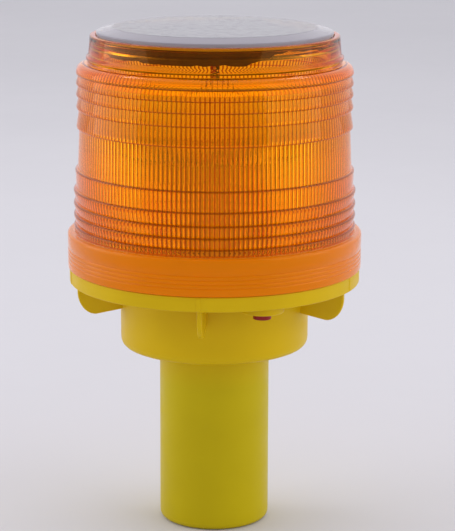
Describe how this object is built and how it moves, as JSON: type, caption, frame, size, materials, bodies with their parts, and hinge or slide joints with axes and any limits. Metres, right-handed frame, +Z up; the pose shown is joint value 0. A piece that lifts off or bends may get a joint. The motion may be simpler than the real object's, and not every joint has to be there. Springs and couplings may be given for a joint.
{
  "type": "traffic barrier warning light",
  "caption": "Solar warning light for a traffic cone or barrier: hollow stalk, round housing with grip wings, screw-on ribbed amber drum lens and clear cover over a solar panel.",
  "frame": {"origin": "centre of the stalk's closed lower end", "axes": "+Z up along the stalk and the lens axis; -Y is the front, towards the first grip wing; +X to the right seen from the front"},
  "size_m": [0.1008, 0.1008, 0.1726],
  "materials": {
    "housing_plastic": "yellow moulded ABS, satin",
    "lens_plastic": "amber clear plastic, ribbed",
    "cover_plastic": "clear plastic",
    "black_plastic": "black moulded plastic",
    "white_plastic": "white moulded plastic",
    "button_plastic": "red moulded plastic",
    "cell_wrap": "shrink sleeve over a steel can",
    "contact_metal": "nickel plated spring steel",
    "screw_metal": "zinc plated",
    "pin_metal": "tinned brass",
    "green_board": "glass fibre board, green mask",
    "white_board": "glass fibre board, white mask",
    "chip_black": "moulded epoxy",
    "capacitor_sleeve": "dark sleeve",
    "ferrite": "wound ferrite",
    "resistor_body": "lacquered ceramic",
    "wire_red": "insulated wire",
    "wire_black": "insulated wire",
    "lamp_epoxy": "clear tinted epoxy",
    "gasket_rubber": "moulded rubber",
    "adhesive": "cured sealant",
    "solar_board_black": "dark laminate",
    "solar_cell": "coated silicon",
    "ribbon_metal": "tinned copper"
  },
  "bodies": {
    "base": {"base_housing": "housing_plastic", "battery_holder": "black_plastic", "battery_cell_up": "cell_wrap", "battery_cell_down": "cell_wrap", "battery_springs": "contact_metal", "battery_plates": "contact_metal", "battery_lead_red": "wire_red", "battery_lead_black": "wire_black", "control_board": "green_board", "control_chip": "chip_black", "charge_capacitor": "capacitor_sleeve", "boost_inductor": "ferrite", "board_resistors": "resistor_body", "housing_screws": "screw_metal", "switch_body": "black_plastic", "switch_spring": "contact_metal", "switch_pins": "pin_metal", "switch_lead_red": "wire_red", "switch_lead_black": "wire_black", "deck_plate": "white_plastic", "lamp_post": "white_plastic", "post_screws": "screw_metal", "lamp_board": "white_board", "lamps": "lamp_epoxy", "lamp_pins": "pin_metal", "lamp_lead_red": "wire_red", "lamp_lead_black": "wire_black", "lens_gasket": "gasket_rubber"},
    "button": {"switch_button": "button_plastic"},
    "leads": {"solar_lead_red": "wire_red", "solar_lead_black": "wire_black"},
    "head": {"amber_lens": "lens_plastic", "cover_adhesive": "adhesive", "top_cover": "cover_plastic", "solar_board": "solar_board_black", "solar_cells": "solar_cell", "solar_ribbons": "ribbon_metal"}
  },
  "joints": [
    {"name": "button_press", "type": "slide", "parent": "base", "child": "button", "axis": [0, 0, 1], "range_m": [0, 0.0013], "stiffness_N_per_m": 400, "springref_m": -0.0015, "deforming": ["switch_spring"]},
    {"name": "lens_rise", "type": "slide", "parent": "base", "child": "leads", "axis": [0, 0, 1], "range_m": [0, 0.0059]},
    {"name": "lens_unscrew", "type": "hinge", "parent": "leads", "child": "head", "pos_m": [0, 0, 0.1], "axis": [0, 0, 1], "range_deg": [0, 810]}
  ],
  "couplings": [
    {"joint": "lens_rise", "follows": "lens_unscrew", "m_per_rad": 0.0004138}
  ]
}
